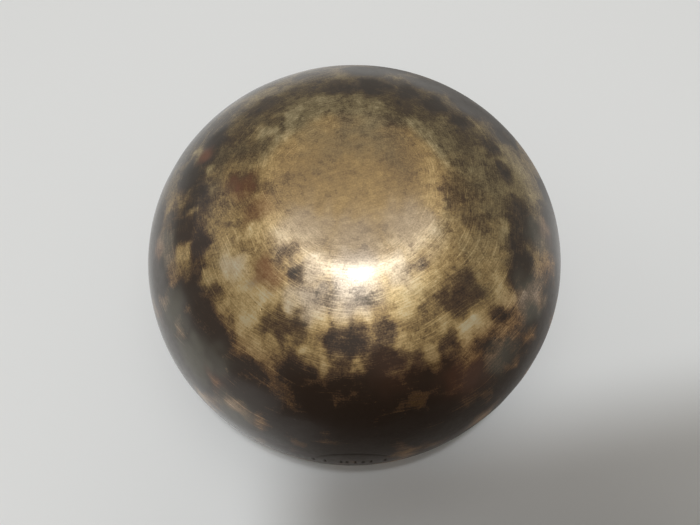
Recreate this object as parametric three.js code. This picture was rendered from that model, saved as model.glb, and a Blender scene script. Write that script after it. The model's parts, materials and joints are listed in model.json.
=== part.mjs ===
// A hand-hammered singing bowl in bell bronze, resting mouth down on its rim.
// It is one forging: a flat foot, a round shoulder, an upright wall that leans in a little
// below its belly, and a thickened lip. Nothing is joined to it and nothing is held inside it.
//
// Units are millimetres, +Z is up, and the origin is the centre of the mouth, in the plane
// that the rim stands on. The foot is at the top.

import * as THREE from "three";

// Driving dimensions
const BELLY_RADIUS = 65; // widest outside radius
const HEIGHT = 68.5; // rim to foot
const BELLY_HEIGHT = 21; // height of the widest ring above the rim
const RIM_LEAN = 1.3; // how far the rim is drawn in from the belly, on the radius
const FOOT_RADIUS = 23.5; // flat disc that the bowl stands on when it is played

// The shoulder is a quarter of a superellipse: (r / R)^RADIAL + (z / h)^AXIAL = 1
const RADIAL_POWER = 2.4;
const AXIAL_POWER = 2.2;

// Metal thickness
const WALL = 2.4;
const FOOT_WALL = 3.0;
const LIP_WALL = 3.6;
const LIP_HEIGHT = 6; // depth of the fully thickened band
const LIP_FADE = 7; // height over which the lip thins out to the wall
const RIM_ROUND = 0.8; // worn radius on both edges of the rim

// Facets
const AROUND = 64;
const SHOULDER_STEPS = 18;
const WALL_STEPS = 5;
const ROUND_STEPS = 3;
const LIP_STEPS = 4;

const RIM_RADIUS = BELLY_RADIUS - RIM_LEAN;

// Height that the shoulder's curve would reach on the axis if the foot didn't cut it off.
function shoulderHeight(radius, cutRadius, rise) {
  return rise / (1 - (cutRadius / radius) ** RADIAL_POWER) ** (1 / AXIAL_POWER);
}

// Points of a shoulder from its widest ring up to the edge of its flat, which is at
// (cutRadius, BELLY_HEIGHT + rise). The steps are even in the angle that drives the curve.
function shoulder(radius, cutRadius, rise) {
  const height = shoulderHeight(radius, cutRadius, rise);
  const end = Math.acos((cutRadius / radius) ** (RADIAL_POWER / 2));
  return Array.from({ length: SHOULDER_STEPS + 1 }, (_, i) => {
    const angle = (end * i) / SHOULDER_STEPS;
    return new THREE.Vector2(
      radius * Math.cos(angle) ** (2 / RADIAL_POWER),
      BELLY_HEIGHT + height * Math.sin(angle) ** (2 / AXIAL_POWER),
    );
  });
}

// Outside radius of the wall between the belly and the rim: a parabola that leaves the belly
// upright and has come in by RIM_LEAN at the rim.
function outerWallRadius(z) {
  return BELLY_RADIUS - RIM_LEAN * (1 - z / BELLY_HEIGHT) ** 2;
}

// Metal thickness at a height: LIP_WALL in the lip, easing to WALL above it.
function thickness(z) {
  const t = Math.min(1, Math.max(0, (z - LIP_HEIGHT) / LIP_FADE));
  return LIP_WALL + (WALL - LIP_WALL) * t * t * (3 - 2 * t);
}

// A quarter round between the wall and the rim's flat face, from one angle to another.
function rimRound(centreRadius, fromAngle, toAngle) {
  return Array.from({ length: ROUND_STEPS + 1 }, (_, i) => {
    const angle = fromAngle + ((toAngle - fromAngle) * i) / ROUND_STEPS;
    return new THREE.Vector2(
      centreRadius + RIM_ROUND * Math.cos(angle),
      RIM_ROUND + RIM_ROUND * Math.sin(angle),
    );
  });
}

// The outside, from the outer edge of the rim up to the centre of the foot.
function outsideProfile() {
  const wall = Array.from({ length: WALL_STEPS }, (_, i) => {
    const z = RIM_ROUND + ((BELLY_HEIGHT - RIM_ROUND) * (i + 1)) / (WALL_STEPS + 1);
    return new THREE.Vector2(outerWallRadius(z), z);
  });
  return [
    ...rimRound(RIM_RADIUS - RIM_ROUND, -Math.PI / 2, 0),
    ...wall,
    ...shoulder(BELLY_RADIUS, FOOT_RADIUS, HEIGHT - BELLY_HEIGHT),
    new THREE.Vector2(0, HEIGHT),
  ];
}

// The inside, from the centre of the bowl's floor down to the inner edge of the rim.
function insideProfile() {
  const lipRadius = RIM_RADIUS - LIP_WALL;
  const lipTop = LIP_HEIGHT + LIP_FADE;
  const lip = Array.from({ length: LIP_STEPS + 1 }, (_, i) => {
    const z = lipTop - (LIP_FADE * i) / LIP_STEPS;
    return new THREE.Vector2(outerWallRadius(z) - thickness(z), z);
  });
  const upper = shoulder(BELLY_RADIUS - WALL, FOOT_RADIUS, HEIGHT - FOOT_WALL - BELLY_HEIGHT);
  const between = (BELLY_HEIGHT + lipTop) / 2;
  return [
    new THREE.Vector2(0, HEIGHT - FOOT_WALL),
    ...upper.reverse(),
    new THREE.Vector2(outerWallRadius(between) - WALL, between),
    ...lip,
    ...rimRound(lipRadius + RIM_ROUND, -Math.PI, -Math.PI / 2),
  ];
}

// The bell bronze under its dark hammered skin
function bronze() {
  return new THREE.MeshStandardMaterial({
    color: 0x6b5536,
    roughness: 0.38,
    metalness: 0.85,
  });
}

function bowl() {
  const profile = [...insideProfile(), ...outsideProfile()];
  const geometry = new THREE.LatheGeometry(profile, AROUND);
  geometry.rotateX(Math.PI / 2); // the lathe turns about Y, and the bowl stands along Z
  const mesh = new THREE.Mesh(geometry, bronze());
  mesh.name = "bowl";
  return mesh;
}

const singingBowl = new THREE.Group();
singingBowl.add(bowl());

export default singingBowl;
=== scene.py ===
"""A hand-hammered singing bowl in bell bronze, resting mouth down on a pale floor."""

import json
import math

import bpy
import numpy as np
from mathutils import Matrix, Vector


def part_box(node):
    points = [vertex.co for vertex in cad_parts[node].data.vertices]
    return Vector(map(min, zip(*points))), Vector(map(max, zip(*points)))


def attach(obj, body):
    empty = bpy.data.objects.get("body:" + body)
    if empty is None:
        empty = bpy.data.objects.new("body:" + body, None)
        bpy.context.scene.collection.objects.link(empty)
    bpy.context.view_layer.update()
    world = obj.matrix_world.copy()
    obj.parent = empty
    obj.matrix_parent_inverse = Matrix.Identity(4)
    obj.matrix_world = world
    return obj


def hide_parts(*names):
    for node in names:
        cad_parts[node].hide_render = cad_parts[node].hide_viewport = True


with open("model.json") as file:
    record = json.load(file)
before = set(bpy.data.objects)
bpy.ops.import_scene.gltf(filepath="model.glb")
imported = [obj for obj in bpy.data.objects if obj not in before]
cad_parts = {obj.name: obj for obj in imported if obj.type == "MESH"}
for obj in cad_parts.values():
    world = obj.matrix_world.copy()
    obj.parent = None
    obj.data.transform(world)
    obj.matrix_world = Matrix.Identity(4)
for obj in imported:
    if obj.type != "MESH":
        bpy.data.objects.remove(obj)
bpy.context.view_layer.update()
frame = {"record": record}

mm = 0.001

# The camera
# It looks steeply down on the foot, from close by, as a person does who bends over the bowl.

CAMERA_PLACE = (-1.3 * mm, -79.2 * mm, 193.3 * mm)
CAMERA_ELEVATION = 65.8  # degrees above the horizon
CAMERA_ROLL = -0.77  # degrees
CAMERA_LENS = 29.3  # for a sensor 36 wide

camera_data = bpy.data.cameras.new("camera")
camera_data.sensor_width = 36
camera_data.lens = CAMERA_LENS
camera_data.clip_start = 5 * mm
camera = bpy.data.objects.new("camera", camera_data)
tilt = Matrix.Rotation(math.radians(90 - CAMERA_ELEVATION), 4, "X")
roll = Matrix.Rotation(math.radians(CAMERA_ROLL), 4, "Z")
camera.matrix_world = Matrix.Translation(CAMERA_PLACE) @ tilt @ roll
bpy.context.scene.collection.objects.link(camera)
bpy.context.scene.camera = camera
bpy.context.scene.view_settings.view_transform = "Standard"


# The room
# A pale matt floor under a round lamp, a wide ceiling panel, a window on the left and one in front.
# The fill light stands with the lamp and isn't seen in the metal. On the near side, a dark screen is there
# for the metal to show, and a dark card shades the floor and a little of the bowl's near edge.


class Value:
    """The output of a node. + - * / and ** on it, with numbers or other outputs, add Math nodes."""

    def __init__(self, finish, socket):
        self.finish = finish
        self.socket = socket

    def sum(self, operation, first, second):
        return self.finish.add("ShaderNodeMath", {"operation": operation}, {0: first, 1: second})

    def __add__(self, other):
        return self.sum("ADD", self, other)

    def __radd__(self, other):
        return self.sum("ADD", other, self)

    def __sub__(self, other):
        return self.sum("SUBTRACT", self, other)

    def __rsub__(self, other):
        return self.sum("SUBTRACT", other, self)

    def __mul__(self, other):
        return self.sum("MULTIPLY", self, other)

    def __rmul__(self, other):
        return self.sum("MULTIPLY", other, self)

    def __truediv__(self, other):
        return self.sum("DIVIDE", self, other)

    def __pow__(self, other):
        return self.sum("POWER", self, other)

    def above(self, low, high):
        """0 below low, 1 above high, and a smooth step between them."""
        settings = {"interpolation_type": "SMOOTHSTEP"}
        return self.finish.add("ShaderNodeMapRange", settings, {"Value": self, 1: low, 2: high})


class Finish:
    """The node tree of a material or of the room's light."""

    def __init__(self, owner):
        owner.use_nodes = True
        self.owner = owner
        self.tree = owner.node_tree
        self.tree.nodes.clear()

    def add(self, kind, settings=None, sockets=None, output=0):
        """Adds a node, makes its settings, fills its sockets with values or links, and gives an output.

        Among the settings, stops are those of a colour ramp, as (position, colour).
        """
        node = self.tree.nodes.new(kind)
        settings = dict(settings or {})
        stops = settings.pop("stops", [])
        for position, colour in stops[2:]:
            node.color_ramp.elements.new(position).color = colour
        for element, (position, colour) in zip(node.color_ramp.elements if stops else [], sorted(stops)):
            element.position = position
            element.color = colour
        for name, setting in settings.items():
            setattr(node, name, setting)
        for name, value in (sockets or {}).items():
            if isinstance(value, Value):
                self.tree.links.new(value.socket, node.inputs[name])
            else:
                node.inputs[name].default_value = value
        return Value(self, node.outputs[output]) if node.outputs else node

    def blend(self, share, first, second):
        """A colour that is first where share is 0, and second where it is 1."""
        return self.add("ShaderNodeMix", {"data_type": "RGBA"}, {0: share, 6: first, 7: second}, 2)


FLOOR_COLOUR = (0.80, 0.81, 0.81, 1)
FLOOR_WIDTH = 6.0
DARK_COLOUR = (0.035, 0.022, 0.013, 1)
CEILING_COLOUR = (1.0, 0.95, 0.87, 1)
BACKDROP_COLOUR = (0.97, 0.99, 1.0, 1)
CEILING_LIGHT = 0.30
BACKDROP_LIGHT = 0.72
SHEET_ROUGHNESS = 0.6
LAMP_PLACE = (0.02, -0.07, 1.5)
LAMP_COLOUR = (0.86, 0.94, 1.0)
LAMP_WIDTH = 0.17
LAMP_POWER = 2.9
FILL_WIDTH = 0.24
FILL_POWER = 6.2
PANEL_PLACE = (0, 0.1, 1.6)
PANEL_COLOUR = (1.0, 0.98, 0.97)
PANEL_WIDTH = 1.7
PANEL_POWER = 5.2
WINDOW_PLACE = (-1.2, 0.5, 0.7)
WINDOW_COLOUR = (0.90, 0.95, 1.0)
WINDOW_WIDTH = 0.7
WINDOW_POWER = 0.6
FRONT_PLACE = (0.09, -1.0, 1.5)
FRONT_COLOUR = (1.0, 0.97, 0.92)
FRONT_WIDTH = 0.86
FRONT_POWER = 1.35
SCREEN_STEPS = 32
SCREEN_RADIUS = 0.165
SCREEN_HEIGHT = 0.097
SCREEN_LIFT = 8 * mm
SCREEN_TURN = (-116, -52)  # degrees
CARD_X = (-16 * mm, 170 * mm)
CARD_BACK = -215 * mm
CARD_FRONT = (-64 * mm, -37 * mm)  # at its two ends
CARD_HEIGHT = 205 * mm


def sheet_of_card(name, corners, faces, colour):
    """Flat four-sided sheets with one plain matt colour."""
    mesh = bpy.data.meshes.new(name)
    mesh.from_pydata(corners, [], faces)
    finish = Finish(bpy.data.materials.new(name))
    sockets = {"Base Color": colour, "Roughness": SHEET_ROUGHNESS}
    surface = finish.add("ShaderNodeBsdfPrincipled", None, sockets)
    finish.add("ShaderNodeOutputMaterial", None, {"Surface": surface})
    mesh.materials.append(finish.owner)
    sheet = bpy.data.objects.new(name, mesh)
    bpy.context.scene.collection.objects.link(sheet)
    return sheet


half = FLOOR_WIDTH / 2
floor_z = -0.03 * mm
floor_corners = [(x, y, floor_z) for x, y in ((-half, -half), (half, -half), (half, half), (-half, half))]
sheet_of_card("floor", floor_corners, [(0, 1, 2, 3)], FLOOR_COLOUR)

turn = np.radians(np.linspace(*SCREEN_TURN, SCREEN_STEPS + 1))
screen_x = SCREEN_RADIUS * np.cos(turn)
screen_y = SCREEN_RADIUS * np.sin(turn)
lower_edge = np.stack([screen_x, screen_y, SCREEN_LIFT + 0 * turn], axis=-1)
screen_corners = np.concatenate([lower_edge, lower_edge + (0, 0, SCREEN_HEIGHT)])
screen_faces = [(i, i + 1, i + SCREEN_STEPS + 2, i + SCREEN_STEPS + 1) for i in range(SCREEN_STEPS)]
screen = sheet_of_card("dark_screen", screen_corners, screen_faces, DARK_COLOUR)
screen.visible_camera = False
screen.visible_shadow = False

card_corners = [(CARD_X[0], CARD_BACK, CARD_HEIGHT), (CARD_X[1], CARD_BACK, CARD_HEIGHT),
                (CARD_X[1], CARD_FRONT[1], CARD_HEIGHT), (CARD_X[0], CARD_FRONT[0], CARD_HEIGHT)]
card = sheet_of_card("dark_card", card_corners, [(0, 1, 2, 3)], DARK_COLOUR)
card.visible_camera = False
card.visible_glossy = False


def soft_light(name, shape, width, power, place, colour=(1, 1, 1)):
    """An area light at a place, turned to face the bowl's middle, where x, y and z are 0."""
    data = bpy.data.lights.new(name, "AREA")
    data.shape = shape
    data.size = width
    data.energy = power
    data.color = colour
    light = bpy.data.objects.new(name, data)
    light.location = place
    light.rotation_euler = light.location.to_track_quat("Z", "Y").to_euler()
    bpy.context.scene.collection.objects.link(light)
    return light


soft_light("lamp", "DISK", LAMP_WIDTH, LAMP_POWER, LAMP_PLACE, LAMP_COLOUR)
soft_light("ceiling_panel", "DISK", PANEL_WIDTH, PANEL_POWER, PANEL_PLACE, PANEL_COLOUR)
fill = soft_light("fill", "DISK", FILL_WIDTH, FILL_POWER, LAMP_PLACE)
fill.visible_glossy = False
soft_light("window", "SQUARE", WINDOW_WIDTH, WINDOW_POWER, WINDOW_PLACE, WINDOW_COLOUR)
front = soft_light("front_window", "SQUARE", FRONT_WIDTH, FRONT_POWER, FRONT_PLACE, FRONT_COLOUR)
# The card doesn't hold back the front window's light
not_shading = bpy.data.collections.new("not_shading")
not_shading.objects.link(card)
front.light_linking.blocker_collection = not_shading
not_shading.collection_objects[0].light_linking.link_state = "EXCLUDE"

# The camera sees a backdrop of its own, and everything else is lit by the ceiling
world = Finish(bpy.data.worlds.new("ceiling"))
bpy.context.scene.world = world.owner
ceiling = world.add("ShaderNodeBackground", None, {"Color": CEILING_COLOUR, "Strength": CEILING_LIGHT})
backdrop = world.add("ShaderNodeBackground", None, {"Color": BACKDROP_COLOUR, "Strength": BACKDROP_LIGHT})
seen = world.add("ShaderNodeLightPath")
room = world.add("ShaderNodeMixShader", None, {0: seen, 1: ceiling, 2: backdrop})
world.add("ShaderNodeOutputWorld", None, {"Surface": room})


# The bowl
# One disc of bell bronze, hammered hot over a stake into a cup, then scraped and rubbed by hand.
# The foot, the shoulder, the wall and the thickened lip are the same metal, so it is one piece.

low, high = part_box("bowl")
mounts = {mount["name"]: mount for mount in frame["record"]["mounts"]}
belly_radius = (high.x - low.x) / 2
bowl_height = high.z
foot_radius = mounts["foot_face"]["dims"]["r_mm"] * mm
belly_height = 21 * mm
rim_lean = 1.3 * mm
wall = 2.4 * mm
foot_wall = 3.0 * mm
lip_wall = 3.6 * mm
lip_height = 6 * mm
lip_fade = 7 * mm
rim_round = 0.8 * mm
foot_dish = 0.25 * mm  # how far the middle of the foot is hollowed
foot_wear = 0.28 * mm  # how far the edge of the foot is worn away
RADIAL_POWER = 2.4
AXIAL_POWER = 2.2
LINE_STEPS = 4000


def shoulder(radius, flat_radius, rise, dish, wear):
    """Radii and heights from the axis to the widest ring, above the widest ring's height.

    The curve is (r / radius)^2.4 + (z / h)^2.2 = 1, with h set so that it crosses the flat's height, rise,
    at flat_radius. The flat cuts it off by a soft minimum, -wear * log(exp(-a / wear) + exp(-b / wear)),
    and it is hollowed by dish * (1 - (r / flat_radius)^2) in its middle.
    """
    height = rise / (1 - (flat_radius / radius) ** RADIAL_POWER) ** (1 / AXIAL_POWER)
    angle = np.linspace(math.pi / 2, 0, LINE_STEPS)
    r = radius * np.cos(angle) ** (2 / RADIAL_POWER)
    dome = height * np.sin(angle) ** (2 / AXIAL_POWER)
    flat = rise - dish * np.clip(1 - (r / flat_radius) ** 2, 0, 1)
    return r, -wear * np.logaddexp(-dome / wear, -flat / wear)


def outer_wall_radius(z):
    """The outside radius below the belly: a parabola, drawn in by rim_lean at the rim."""
    return belly_radius - rim_lean * (1 - z / belly_height) ** 2


def wall_thickness(z):
    """The metal's thickness: the lip's, easing to the wall's by a smooth step above lip_height."""
    t = np.clip((z - lip_height) / lip_fade, 0, 1)
    return lip_wall + (wall - lip_wall) * t * t * (3 - 2 * t)


def rim_line():
    """The rim: a quarter round, a flat and a quarter round, from the outside to the inside."""
    angle = np.linspace(0, math.pi / 2, 30)
    outer = belly_radius - rim_lean - rim_round
    inner = belly_radius - rim_lean - lip_wall + rim_round
    r = np.concatenate([outer + rim_round * np.cos(angle), inner - rim_round * np.sin(angle)])
    z = rim_round * np.concatenate([1 - np.sin(angle), 1 - np.cos(angle)])
    return r, z


def bowl_line():
    """The closed line that turns into the bowl, as radii and heights.

    It starts in the middle of the foot, and runs down the outside, round the rim and up the inside to the
    middle of the bowl's floor.
    """
    outer_r, outer_z = shoulder(belly_radius, foot_radius, bowl_height - belly_height, foot_dish, foot_wear)
    inner_rise = bowl_height - foot_wall - belly_height
    inner_r, inner_z = shoulder(belly_radius - wall, foot_radius, inner_rise, 0, 2 * foot_wear)
    down = np.linspace(belly_height, rim_round, LINE_STEPS // 4)[1:-1]
    rim_r, rim_z = rim_line()
    r = [outer_r, outer_wall_radius(down), rim_r,
         (outer_wall_radius(down) - wall_thickness(down))[::-1], inner_r[::-1]]
    z = [belly_height + outer_z, down, rim_z, down[::-1], belly_height + inner_z[::-1]]
    return np.concatenate(r), np.concatenate(z)


line_r, line_z = bowl_line()
line_s = np.concatenate([[0], np.cumsum(np.hypot(np.diff(line_r), np.diff(line_z)))])
rim_s = line_s[np.argmin(line_z)]
end_s = line_s[-1]

# The ornament
# Short upright cuts under a low arch, near the rim on one side, struck into the cold metal with a chisel.
# They say nothing. The bowl's grid of points is finer there and at the rim, so that edges come out clean.

ORNAMENT_AZIMUTH = -91.0
ORNAMENT_HALF_TURN = 11.0
ORNAMENT_HEIGHT = 24 * mm
CUT_AZIMUTHS = (-101, -98, -94, -92.5, -90.5, -88.5, -86.5, -83)
CUT_LENGTH = 3.6 * mm
CUT_WIDTH = 0.9 * mm
CUT_DEPTH = 0.35 * mm
ARCH_HALF_TURN = 9.0
ARCH_LIFT = 3 * mm  # above the middle of the cuts, at its ends
ARCH_RISE = 6.5 * mm
ARCH_HALF_WIDTH = 0.7 * mm
ARCH_DEPTH = 0.35  # as a share of the cuts' depth
ROW_SPACING = 0.95 * mm
WIDER_INSIDE = 1.6 * mm  # added to the rows' spacing on the inside
FINE_ROW_SPACING = 0.45 * mm
TURN_STEP = 0.85  # degrees
FINE_TURN_STEP = 0.36


def stations(places, spacing):
    """Places along a line, closer together where spacing is small: equal steps of the sum of 1 / spacing."""
    density = 1 / spacing
    count = np.concatenate([[0], np.cumsum(np.diff(places) * (density[1:] + density[:-1]) / 2)])
    return np.interp(np.linspace(0, count[-1], round(count[-1]) + 1), count, places)


def hump(x, middle, half_width, edge):
    """1 within half_width of the middle, falling to 0 over edge on each side."""
    return np.clip((half_width + edge - np.abs(x - middle)) / edge, 0, 1)


ornament_s = np.interp(-ORNAMENT_HEIGHT, -line_z[line_s < rim_s], line_s[line_s < rim_s])
near_ornament = hump(line_s, ornament_s - 2 * mm, 8 * mm, 4 * mm)
near_rim = hump(line_s, rim_s, 3 * mm, 3 * mm)
inside = np.clip((line_s - rim_s) / (10 * mm), 0, 1)
spacing = ROW_SPACING + WIDER_INSIDE * inside
spacing = spacing + (FINE_ROW_SPACING - spacing) * np.maximum(near_ornament, near_rim)
row_s = stations(line_s, spacing)

turn = np.linspace(-180, 180, 3601)
step = TURN_STEP + (FINE_TURN_STEP - TURN_STEP) * hump(turn, ORNAMENT_AZIMUTH, ORNAMENT_HALF_TURN, 4.0)
azimuth = stations(turn, step)[:-1]


def turned(s, azimuth_degrees):
    """Points on the smooth bowl: the line's points at s, turned about the axis to the azimuths."""
    r = np.interp(s, line_s, line_r)
    z = np.interp(s, line_s, line_z)
    a = np.radians(azimuth_degrees)
    return np.stack([r * np.cos(a), r * np.sin(a), z + 0 * a], axis=-1)


smooth_points = turned(row_s[:, None], azimuth[None, :])
ahead = turned(np.clip(row_s + 0.05 * mm, 0, end_s)[:, None], azimuth[None, :])
behind = turned(np.clip(row_s - 0.05 * mm, 0, end_s)[:, None], azimuth[None, :])
along = ahead - behind
around = np.stack([-np.sin(np.radians(azimuth)), np.cos(np.radians(azimuth)), 0 * azimuth], axis=-1)
normals = np.cross(along, np.broadcast_to(around[None], along.shape))
normals /= np.maximum(np.linalg.norm(normals, axis=-1, keepdims=True), 1e-12)

# Hammer blows
# The bowl is beaten out hot. Each blow leaves a shallow round dimple, and some keep the black scale of
# the fire in them. Rubbing brings the bright bronze back between them and on the edge of the foot.

DENT_DEPTH = 0.09 * mm
WANDER = 1.1 * mm  # how far the edges of the stains stray
SWAY = (0.20 * mm, 0.12 * mm)  # how far the bowl is from round, in two waves and in three
FOOT_EDGE_OUT = 0.6 * mm  # from the edge of the foot to the middle of its rubbed line
FOOT_EDGE_WIDTH = 2.0 * mm
RIM_WEAR_WIDTH = 1.6 * mm
PLAIN_WEAR = 0.57  # how polished the metal is where no mark says otherwise
WALL_WEAR_LOST = 0.23  # how much less polished it is on the wall
SHOULDER_END = 46  # mm from the middle of the foot, where the wall's wear begins
SHOULDER_FADE = 14
SEED = 108

chance = np.random.default_rng(SEED)


def rings_of_blows(first, last, apart, skip=0.0):
    """Blows in rings from s = first to last, apart from each other, shifted by up to a third of that."""
    blows = []
    for ring in np.arange(first, last, apart):
        radius = np.interp(ring, line_s, line_r)
        count = max(1, round(2 * math.pi * radius / apart))
        a = (np.arange(count) + chance.random()) * 360 / count
        a = a + chance.uniform(-0.33, 0.33, count) * 360 / count
        s = ring + chance.uniform(-0.33, 0.33, count) * apart
        size = apart * chance.uniform(0.55, 0.85, count)
        strength = chance.random(count)
        keep = chance.random(count) >= skip
        blows.append(np.stack([(a + 180) % 360 - 180, s, size, strength], axis=-1)[keep])
    return np.concatenate(blows)


def drift(points, longest, shortest, waves=36):
    """A smooth random number at each point, mostly -1 to 1: a sum of sine waves in random directions."""
    length = np.exp(chance.uniform(math.log(shortest), math.log(longest), waves))
    way = chance.normal(size=(waves, 3))
    way *= (2 * math.pi / length / np.linalg.norm(way, axis=1))[:, None]
    start = chance.uniform(0, 2 * math.pi, waves)
    return np.sin(points @ way.T + start).sum(axis=-1) / math.sqrt(waves)


def cover(points, blows, fall, reach):
    """For each blow, its strength times fall(distance / size) at every point, one blow after another."""
    middles = turned(blows[:, 1], blows[:, 0])
    for middle, (_, s, size, strength) in zip(middles, blows):
        rows = slice(*np.searchsorted(row_s, [s - reach * size, s + reach * size]))
        distance = np.linalg.norm(points[rows] - middle, axis=-1)
        yield rows, strength * fall(distance / size)


def dimple(x):
    """1 in the middle, falling to 0 at x = 1 as (1 - x^2)^2."""
    return np.clip(1 - x * x, 0, 1) ** 2


def stain(x):
    """A soft-edged spot: nearly 1 in the middle, a half at x = 1, and next to nothing at x = 1.7."""
    return 1 / (1 + np.exp(5 * (x - 1)))


def soft_patch(x):
    """1 in the middle, falling as exp(-x^2)."""
    return np.exp(-x * x)


def stains(blows):
    """The strongest stain at each point, with edges that wander a millimetre or two."""
    total = np.zeros(smooth_points.shape[:2])
    for rows, value in cover(wandered, blows, stain, 2.8):
        total[rows] = np.maximum(total[rows], value)
    return total


def dimples(blows):
    """The sum of the dimples at each point."""
    total = np.zeros(smooth_points.shape[:2])
    for rows, value in cover(smooth_points, blows, dimple, 1.2):
        total[rows] += value
    return total


wander = [drift(smooth_points, 14 * mm, 3.5 * mm) for _ in range(3)]
wandered = smooth_points + WANDER * np.stack(wander, axis=-1)

# Each mark is (azimuth in degrees, distance from the middle of the foot in mm, radius in mm, strength).
# Another program worked out most of the scale, rubbed and blush places and a few of the others. Some were
# then moved, and the strengths are set one by one.
SCALE_MARKS = [
    (-50, 41, 5.6, 1.0), (-42, 52, 3.4, 0.9), (-50, 55, 3.6, 0.9), (-80, 47, 4.6, 1.0),
    (-94, 42, 5.2, 1.0), (-79, 40, 3.0, 0.7), (-24, 50, 4.0, 1.0), (-19, 46, 3.6, 0.9),
    (-56, 28, 2.2, 0.5), (-66, 55, 4.8, 1.0), (-115, 42, 5.2, 1.0), (-108, 52, 5.2, 1.0),
    (-149, 51, 4.4, 1.0), (-153, 46, 3.0, 0.8), (-132, 55, 4.4, 1.0), (-124, 58, 4.2, 1.0),
    (97, 33, 4.6, 0.8), (81, 34, 5.2, 1.0), (64, 36, 4.8, 0.9), (50, 36, 4.4, 0.9),
    (35, 38, 3.8, 0.9), (21, 41, 3.4, 0.8), (8, 43, 3.0, 0.8), (-5, 46, 3.2, 0.9),
    (130, 39, 4.6, 0.7), (154, 44, 4.4, 1.0), (170, 48, 5.2, 1.0), (163, 44, 3.4, 0.8),
    (-168, 48, 5.2, 1.0), (-20, 33, 2.8, 0.5), (-94, 53, 4.0, 0.8), (-82, 57, 5.0, 1.0),
    (-100, 59, 5.2, 1.0), (-118, 65, 5.4, 1.0), (-142, 52, 3.8, 1.0), (-73, 54, 3.8, 0.9),
    (-57, 61, 4.2, 0.9), (-46, 62, 3.6, 0.8), (-62, 48, 2.2, 0.7), (-131, 26, 2.2, 0.5),
    (-120, 29, 2.2, 0.6), (-148, 33, 2.0, 0.4), (180, 27, 2.8, 0.5), (-92, 66, 7.0, 1.0),
    (-105, 69, 6.4, 1.0), (-79, 68, 6.8, 1.0), (-69, 66, 5.0, 1.0), (-122, 77, 4.4, 0.8),
    (-88, 78, 8.0, 1.0), (-110, 80, 6.0, 0.9), (-66, 78, 6.0, 1.0), (-30, 23, 1.8, 0.4),
    (-88, 32, 1.8, 0.3), (-86, 52, 5.4, 1.0), (-133, 59, 5.0, 1.0), (-120, 57, 4.0, 0.8),
    (-103, 32, 3.4, 0.35), (-159, 44, 4.2, 1.0), (-176, 46, 3.8, 0.9), (-142, 47, 3.0, 0.7),
    (-150, 60, 5.0, 0.9), (-137, 52, 3.4, 0.8), (-151, 56, 4.2, 1.0), (178, 43, 4.0, 0.8),
    (-13, 48, 4.6, 1.0), (52, 52, 7.0, 1.0), (75, 52, 7.0, 1.0), (32, 56, 6.0, 0.8),
    (-58, 36, 2.4, 0.4), (-27, 51, 4.4, 1.0), (110, 46, 5.0, 0.7), (60, 47, 6.5, 1.0),
    (85, 46, 6.5, 1.0), (42, 49, 6.0, 1.0), (26, 51, 5.0, 0.9), (-175, 41, 3.0, 0.6),
    (70, 40, 4.0, 0.7), (-10, 52, 3.6, 0.8),
]
RUBBED_MARKS = [
    (-59, 44, 1.8, 1.0), (-55, 47, 2.0, 1.0), (-51, 49, 1.7, 1.0), (-36, 47, 2.6, 1.0),
    (-37, 51, 1.9, 0.8), (-61, 33, 2.6, 0.8), (-70, 36, 3.0, 0.9), (-104, 38, 2.6, 1.0),
    (-86, 36, 2.2, 0.9), (-67, 49, 2.6, 0.8), (-75, 44, 1.8, 0.9), (-90, 48, 1.8, 1.0),
    (-100, 49, 2.2, 0.9), (-128, 46, 3.0, 1.0), (-146, 38, 3.6, 1.0), (-134, 37, 2.2, 1.0),
    (-128, 37, 1.8, 0.9), (-114, 36, 2.4, 0.8), (-106, 46, 2.0, 1.0), (-120, 50, 2.2, 0.9),
    (-148, 46, 1.8, 0.8), (-72, 32, 2.6, 0.6), (-100, 45, 1.9, 0.8), (-66, 52, 2.0, 0.7),
    (128, 28, 3.2, 0.9), (144, 29, 2.8, 0.9), (108, 29, 3.6, 0.6), (-152, 29, 1.8, 0.8),
    (-117, 47, 1.6, 0.7), (-96, 36, 2.0, 0.7), (-162, 50, 2.6, 1.0), (-154, 42, 1.6, 0.5),
    (168, 41, 1.7, 0.9), (21, 26, 2.8, 0.5), (7, 25, 2.4, 0.4), (92, 26, 4.4, 0.3),
    (69, 25, 3.4, 0.4), (-172, 31, 2.4, 0.3), (-174, 45, 1.7, 0.7), (-15, 41, 1.9, 0.6),
    (-32, 41, 1.6, 0.7), (-128, 67, 2.8, 0.6), (-121, 70, 2.8, 0.5), (-114, 73, 3.0, 0.5),
    (-104, 76, 3.4, 0.4), (-145, 64, 2.8, 0.5), (-155, 65, 2.8, 0.6), (-169, 61, 2.9, 0.6),
    (180, 57, 2.9, 0.6), (160, 49, 2.0, 0.7), (-28, 62, 2.8, 0.6), (-36, 66, 2.8, 0.5),
    (-46, 69, 2.8, 0.5), (-55, 72, 3.0, 0.4), (-7, 58, 2.8, 0.6), (2, 54, 2.5, 0.5),
    (-70, 84, 3.2, 0.5), (132, 49, 2.8, 0.5), (-142, 22, 2.8, 0.5), (-152, 23, 2.4, 0.5),
    (-128, 22, 2.8, 0.4), (0, 21, 3.0, 0.5), (13, 22, 2.8, 0.6), (-14, 21, 2.8, 0.5),
    (28, 22, 2.4, 0.4), (-165, 24, 2.2, 0.4),
]
BLUSH_MARKS = [
    (-132, 33, 3.6, 1.0), (-178, 29, 3.8, 0.8), (-163, 26, 3.2, 0.7), (161, 46, 2.6, 0.9),
    (-128, 67, 3.2, 0.4), (-8, 58, 3.2, 0.4), (-169, 61, 3.0, 0.4), (-60, 60, 6.0, 0.3),
    (-80, 50, 6.0, 0.12),
]
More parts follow.
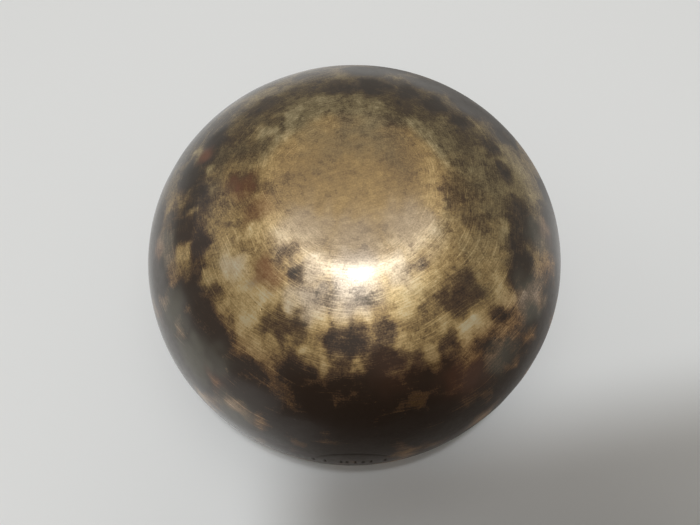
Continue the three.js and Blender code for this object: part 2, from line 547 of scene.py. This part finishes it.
# Pale marks, partly bare pale metal and partly painted light: round the near edge of the foot they are a
# painted highlight, and on the lower wall a painted grey reflection.
PALE_AND_PAINTED_SHEEN_MARKS = [
    (-90, 24, 7.0, 0.8), (-68, 25, 5.0, 0.6), (-112, 25, 5.0, 0.6), (-92, 30, 6.0, 0.8),
    (-110, 33, 5.0, 0.7), (-146, 38, 3.4, 0.4), (-66, 28, 3.4, 0.5), (-137, 67, 6.5, 1.0),
    (-130, 60, 4.0, 0.5), (-150, 62, 6.0, 0.9), (-168, 57, 5.0, 0.8), (-122, 74, 6.0, 0.7),
    (-30, 58, 6.5, 0.8), (-48, 62, 5.0, 0.6), (-10, 55, 5.0, 0.6), (-90, 19, 9.0, 0.5),
    (-132, 19, 7.0, 0.5), (-46, 19, 7.0, 0.5),
]
# Polish marks, partly real polish and partly painted light: positive strengths brighten the tone as painted
# light, negative ones darken it as painted shade.
POLISH_AND_PAINTED_LIGHT_MARKS = [
    (-28, 40, 12, 0.10), (-8, 32, 9, 0.05), (-55, 33, 10, 0.12), (-80, 40, 13, 0.05),
    (-108, 42, 12, 0.12), (172, 36, 9, -0.06), (-90, 12, 11, 0.03), (-50, 56, 10, 0.14),
    (-22, 58, 10, 0.08), (60, 30, 11, -0.06), (-140, 60, 12, -0.04), (110, 30, 10, 0.06),
    (-118, 44, 7, 0.06), (30, 18, 9, -0.08), (95, 17, 8, -0.06), (-168, 42, 8, -0.06),
    (-118, 40, 4, 0.08), (-130, 40, 4, 0.08), (-50, 48, 4, 0.30), (-54, 47, 3, 0.25),
    (80, 26, 5, 0.08), (132, 28, 6, 0.06), (-140, 42, 5, 0.06), (-136, 40, 6, 0.08),
    (-45, 43, 5, 0.08), (-75, 50, 4, 0.10), (72, 27, 6, 0.08), (0, 13, 9, -0.05),
    (-150, 30, 5, 0.05), (-122, 39, 6, 0.14), (-89, 38.5, 3, 0.14), (-63, 42, 4, -0.10),
    (-148, 37, 5, 0.08), (-66, 51, 3, 0.08), (-100, 90, 9, 0.14), (-80, 92, 9, 0.12),
    (-118, 82, 8, 0.12), (-136, 76, 8, 0.12), (-60, 86, 8, 0.10), (70, 27, 5, 0.08),
    (-2, 28, 6, 0.06), (-170, 30, 6, 0.05), (-140, 38, 7, 0.10), (-128, 46, 6, 0.10),
    (-90, 19, 7, 0.07), (-130, 19, 7, 0.07), (-50, 19, 7, 0.05), (140, 28, 8, 0.05),
    (170, 27, 7, 0.05), (-165, 27, 7, 0.04),
]

scale_marks = np.array(SCALE_MARKS) * (1, mm, mm, 1)
rubbed_marks = np.array(RUBBED_MARKS) * (1, mm, mm, 1)
blush_marks = np.array(BLUSH_MARKS) * (1, mm, mm, 1)
pale_and_painted_sheen_marks = np.array(PALE_AND_PAINTED_SHEEN_MARKS) * (1, mm, mm, 1)
polish_and_painted_light_marks = np.array(POLISH_AND_PAINTED_LIGHT_MARKS) * (1, mm, mm, 1)

outside_blows = rings_of_blows(28 * mm, rim_s - 4 * mm, 9.5 * mm)
inside_blows = rings_of_blows(rim_s + 12 * mm, end_s - 6 * mm, 10 * mm)
dents = dimples(outside_blows) + dimples(scale_marks) + 0.8 * dimples(inside_blows)

lower_blows = rings_of_blows(64 * mm, rim_s - 2 * mm, 9 * mm, skip=0.3)
lower_blows[:, 3] = 0.5 + 0.5 * lower_blows[:, 3]
upper_blows = rings_of_blows(28 * mm, 62 * mm, 8.5 * mm, skip=0.25)
upper_blows[:, 3] *= 0.6
# On the near side of the shoulder, the listed marks stand alone
near_side = (np.abs(upper_blows[:, 0] + 90) < 72) & (upper_blows[:, 1] < 58 * mm)
upper_blows = upper_blows[~near_side]
inner_blows = rings_of_blows(rim_s + 8 * mm, end_s - 8 * mm, 10 * mm, skip=0.3)
inner_blows[:, 3] *= 0.8
scale = np.maximum(stains(scale_marks), stains(np.concatenate([lower_blows, upper_blows, inner_blows])))
rubbed = stains(rubbed_marks)
blush = stains(blush_marks)
pale_and_painted_sheen = stains(pale_and_painted_sheen_marks)
scale *= 1 - 0.8 * rubbed

edge_of_foot = np.exp(-(((row_s - foot_radius - FOOT_EDGE_OUT) / FOOT_EDGE_WIDTH) ** 2))[:, None]
edge_of_foot = edge_of_foot * np.clip(0.6 + 0.35 * drift(smooth_points, 18 * mm, 6 * mm), 0, 1)
rubbed = np.maximum(rubbed, edge_of_foot)
rim_wear = np.exp(-(((row_s - rim_s) / RIM_WEAR_WIDTH) ** 2))[:, None]
rubbed = np.maximum(rubbed, 0.8 * rim_wear)
past_shoulder = np.clip((row_s / mm - SHOULDER_END) / SHOULDER_FADE, 0, 1)[:, None]
wear = PLAIN_WEAR - WALL_WEAR_LOST * past_shoulder + 0 * rubbed
# The polish marks add both polish and painted light and shade to the wear.
for rows, value in cover(smooth_points, polish_and_painted_light_marks, soft_patch, 2.5):
    wear[rows] += value

# How deep the ornament's cuts and its arch are at each point, as a share of the deepest
upright = np.abs(smooth_points[..., 2] - ORNAMENT_HEIGHT)
cuts = np.zeros(smooth_points.shape[:2])
outside = (row_s < rim_s)[:, None]
for cut in CUT_AZIMUTHS:
    aside = np.radians(azimuth[None, :] - cut) * belly_radius
    beyond = np.maximum(upright - CUT_LENGTH / 2, 0)
    cuts = np.maximum(cuts, outside * dimple(np.hypot(aside, beyond) / (CUT_WIDTH / 2)))
span = (azimuth[None, :] - ORNAMENT_AZIMUTH) / ARCH_HALF_TURN
arch_height = ORNAMENT_HEIGHT + ARCH_LIFT + ARCH_RISE * np.sqrt(np.clip(1 - span**2, 0, 1))
arch = dimple((smooth_points[..., 2] - arch_height) / ARCH_HALF_WIDTH) * (np.abs(span) < 1) * outside
cuts = np.maximum(cuts, ARCH_DEPTH * arch)

depth = DENT_DEPTH * dents + CUT_DEPTH * cuts
sway = SWAY[0] * np.sin(np.radians(2 * azimuth + 40)) + SWAY[1] * np.sin(np.radians(3 * azimuth + 100))
height_share = np.clip(1 - smooth_points[..., 2] / bowl_height, 0, 1)
points = smooth_points - normals * depth[..., None]
points[..., :2] *= (1 + height_share * sway[None, :] / belly_radius)[..., None]


def closed_shell(name, points):
    """A mesh of the grid's points, whose first and last rows are the two poles on the axis."""
    rows, columns = points.shape[:2]
    inner = points[1:-1].reshape(-1, 3)
    vertices = np.concatenate([points[0, :1], inner, points[-1, :1]])
    i = np.arange(rows - 3)[:, None] * columns + 1
    j = np.arange(columns)[None, :]
    k = (j + 1) % columns
    quads = np.stack([i + j, i + columns + j, i + columns + k, i + k], axis=-1).reshape(-1, 4)
    j, k = j[0], k[0]
    last = len(vertices) - 1
    first_fan = np.stack([0 * j, 1 + j, 1 + k], axis=-1)
    last_fan = np.stack([0 * j + last, last - columns + k, last - columns + j], axis=-1)
    mesh = bpy.data.meshes.new(name)
    mesh.from_pydata(vertices, [], quads.tolist() + first_fan.tolist() + last_fan.tolist())
    mesh.polygons.foreach_set("use_smooth", np.ones(len(mesh.polygons), bool))
    mesh.update()
    return mesh


def paint(mesh, name, values):
    """Keeps one number for each point of the grid with the mesh, under a name."""
    flat = np.concatenate([values[0, :1], values[1:-1].ravel(), values[-1, :1]])
    mesh.attributes.new(name, "FLOAT", "POINT").data.foreach_set("value", flat.astype(np.float32))


shell = closed_shell("singing_bowl", points)
paint(shell, "scale", scale)
paint(shell, "rubbed", rubbed)
paint(shell, "blush", blush)
paint(shell, "pale_and_painted_sheen", pale_and_painted_sheen)
paint(shell, "cuts", cuts)
paint(shell, "wear", wear)
paint(shell, "line", (row_s / mm)[:, None] + 0 * scale)
bowl = bpy.data.objects.new("singing_bowl", shell)
bpy.context.scene.collection.objects.link(bowl)


def bell_bronze():
    """Bronze with a brown tarnish, rubbed bright in places and black with scale in others.

    Under a clear film, the tone runs from 0, black scale, to 1, polished bronze, and sets the colour. Part
    of the tone is painted light and painted shade, the pale patches are partly a painted highlight and
    painted reflection, and the film is thinned on two sides as painted shade in the reflections.
    """
    metal = Finish(bpy.data.materials.new("bell_bronze"))
    place = metal.add("ShaderNodeTexCoord", output="Object")

    def kept(name):
        return metal.add("ShaderNodeAttribute", {"attribute_name": name}, output="Fac")

    def cloud(scale, detail=3.0, roughness=0.5, vector=place, distortion=0.0):
        sockets = {"Vector": vector, "Scale": scale, "Detail": detail, "Roughness": roughness,
                   "Distortion": distortion}
        return metal.add("ShaderNodeTexNoise", None, sockets)

    scale_mask, rubbed_mask, blush_mask = kept("scale"), kept("rubbed"), kept("blush")
    cut_mask, line = kept("cuts"), kept("line")

    x = metal.add("ShaderNodeSeparateXYZ", None, {0: place}, "X")
    y = metal.add("ShaderNodeSeparateXYZ", None, {0: place}, "Y")
    radius = (x * x + y * y) ** 0.5 + 0.0001

    broad = cloud(40, 1.0, 0.4) - 0.5
    mottle = cloud(130, 3.0, 0.6, distortion=0.6) - 0.5
    flecks = cloud(250, 3.0, 0.65)
    flecks = (1 - flecks.above(0.36, 0.42)) * 0.10 - flecks.above(0.57, 0.64) * 0.13
    fine = cloud(600, 3.0, 0.65) - 0.5
    grain = cloud(2500, 1.0, 0.5) - 0.5

    crooked = line + broad * 9

    def stretched(first, second, third):
        return metal.add("ShaderNodeCombineXYZ", None, {0: first, 1: second, 2: third})

    around = stretched(x / radius * 8, y / radius * 8, crooked * 2.8)
    sparse = stretched(x / radius * 3, y / radius * 3, crooked * 3.5)
    aslant = stretched(x * 150 + y * 50, y * 1500 - x * 500, 0.5)
    middle = 1 - line.above(12, 26)
    ring_lines = cloud(1.0, 2.0, 0.6, around) - 0.5
    foot_lines = cloud(1.0, 2.0, 0.6, aslant) - 0.5
    hairlines = ring_lines * (1 - middle * 0.8) + foot_lines * middle * 0.45
    scratches = cloud(1.0, 0.0, 0.5, sparse).above(0.66, 0.76) * (1 - middle)
    pits = metal.add("ShaderNodeTexVoronoi", None, {"Vector": place, "Scale": 210.0}, "Distance")
    pit_mask = (1 - pits.above(0.04, 0.08)) * cloud(60, 1.0, 0.5).above(0.51, 0.58)

    near = (0 - y).above(-0.01, 0.035)
    below = line.above(55, 75)
    calm = 1 - middle * 0.55 - below * 0.5
    speckle = mottle * 0.36 + fine * 0.44 + grain * 0.46 + flecks
    ragged = broad * 0.26 + speckle * calm + hairlines * (0.26 + near * (1 - below) * 0.20)
    streaks = scratches * 0.16 + hairlines * rubbed_mask * (1 - below * 0.7) * 0.30
    # Besides real wear, the wear carries painted light and painted shade from the polish marks.
    tone = kept("wear") + rubbed_mask * 0.28 - scale_mask * 0.60 + ragged + streaks - pit_mask * 0.3

    hue = cloud(26, 2.0, 0.5) + mottle * 0.3 + (1 - line.above(20, 25)) * 0.20 - y * 6
    warm = hue.above(0.35, 0.65)
    tones = (0.06, 0.20, 0.34, 0.48, 0.70, 1.0)

    def metal_ramp(*colours):
        return metal.add("ShaderNodeValToRGB", {"stops": list(zip(tones, colours))}, {0: tone * 0.77})

    olive_metal = metal_ramp((0.026, 0.018, 0.012, 1), (0.085, 0.060, 0.037, 1), (0.235, 0.182, 0.108, 1),
                             (0.43, 0.345, 0.190, 1), (0.80, 0.68, 0.41, 1), (1.0, 0.94, 0.74, 1))
    brown_metal = metal_ramp((0.030, 0.016, 0.009, 1), (0.100, 0.058, 0.031, 1), (0.275, 0.185, 0.095, 1),
                             (0.52, 0.355, 0.155, 1), (0.90, 0.67, 0.33, 1), (1.0, 0.90, 0.62, 1))
    copper_metal = metal_ramp((0.028, 0.016, 0.010, 1), (0.120, 0.066, 0.034, 1), (0.36, 0.215, 0.105, 1),
                              (0.60, 0.385, 0.185, 1), (0.82, 0.58, 0.31, 1), (0.95, 0.76, 0.48, 1))
    pale_and_painted_sheen_metal = metal_ramp((0.125, 0.118, 0.088, 1), (0.190, 0.176, 0.135, 1), (0.28, 0.255, 0.230, 1),
                            (0.50, 0.45, 0.42, 1), (0.80, 0.735, 0.68, 1), (1.0, 0.95, 0.90, 1))
    colour = metal.blend(warm, olive_metal, brown_metal)
    colour = metal.blend(line.above(60 - near * 16, 78 - near * 20), colour, copper_metal)
    # Pale patches: partly bare metal, partly a painted highlight and painted reflection.
    colour = metal.blend(kept("pale_and_painted_sheen") * 0.75, colour, pale_and_painted_sheen_metal)
    colour = metal.blend(blush_mask * 0.72, colour, (0.24, 0.095, 0.050, 1))
    colour = metal.blend(cut_mask, colour, (0.015, 0.012, 0.010, 1))

    bright = tone.above(0.12, 0.42)
    metallic = 0.25 + bright * 0.75
    roughness = 0.45 - bright * 0.09 + fine * 0.20
    heights = hairlines * 0.015 + grain * 0.014 + fine * 0.012 + mottle * 0.02 - pit_mask * 0.05
    bumps = metal.add("ShaderNodeBump", None, {"Strength": 1.0, "Distance": mm, "Height": heights})
    # From the shoulder down, the film is set thinner and rougher on the near side and on the far right side:
    # painted shade, which dims the reflections there.
    front = (x * 0.45 - y * 0.9).above(0.03, 0.055)
    back = (x * 0.6 + y * 0.8).above(0.025, 0.05)
    painted_reflection_shade = (front + back) * line.above(38, 56)
    surface = metal.add("ShaderNodeBsdfPrincipled", None, {
        "Base Color": colour, "Metallic": metallic, "Normal": bumps,
        "Roughness": roughness + painted_reflection_shade * 0.08 + cut_mask * 0.4,
        "Coat Weight": (0.80 - painted_reflection_shade * 0.65) * (1 - cut_mask), "Coat Roughness": 0.18,
        "Coat IOR": 1.42, "Specular IOR Level": 0.35, "Specular Tint": (1.0, 0.92, 0.82, 1),
    })
    metal.add("ShaderNodeOutputMaterial", None, {"Surface": surface})
    return metal.owner


shell.materials.append(bell_bronze())
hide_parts("bowl")
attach(bowl, "root")
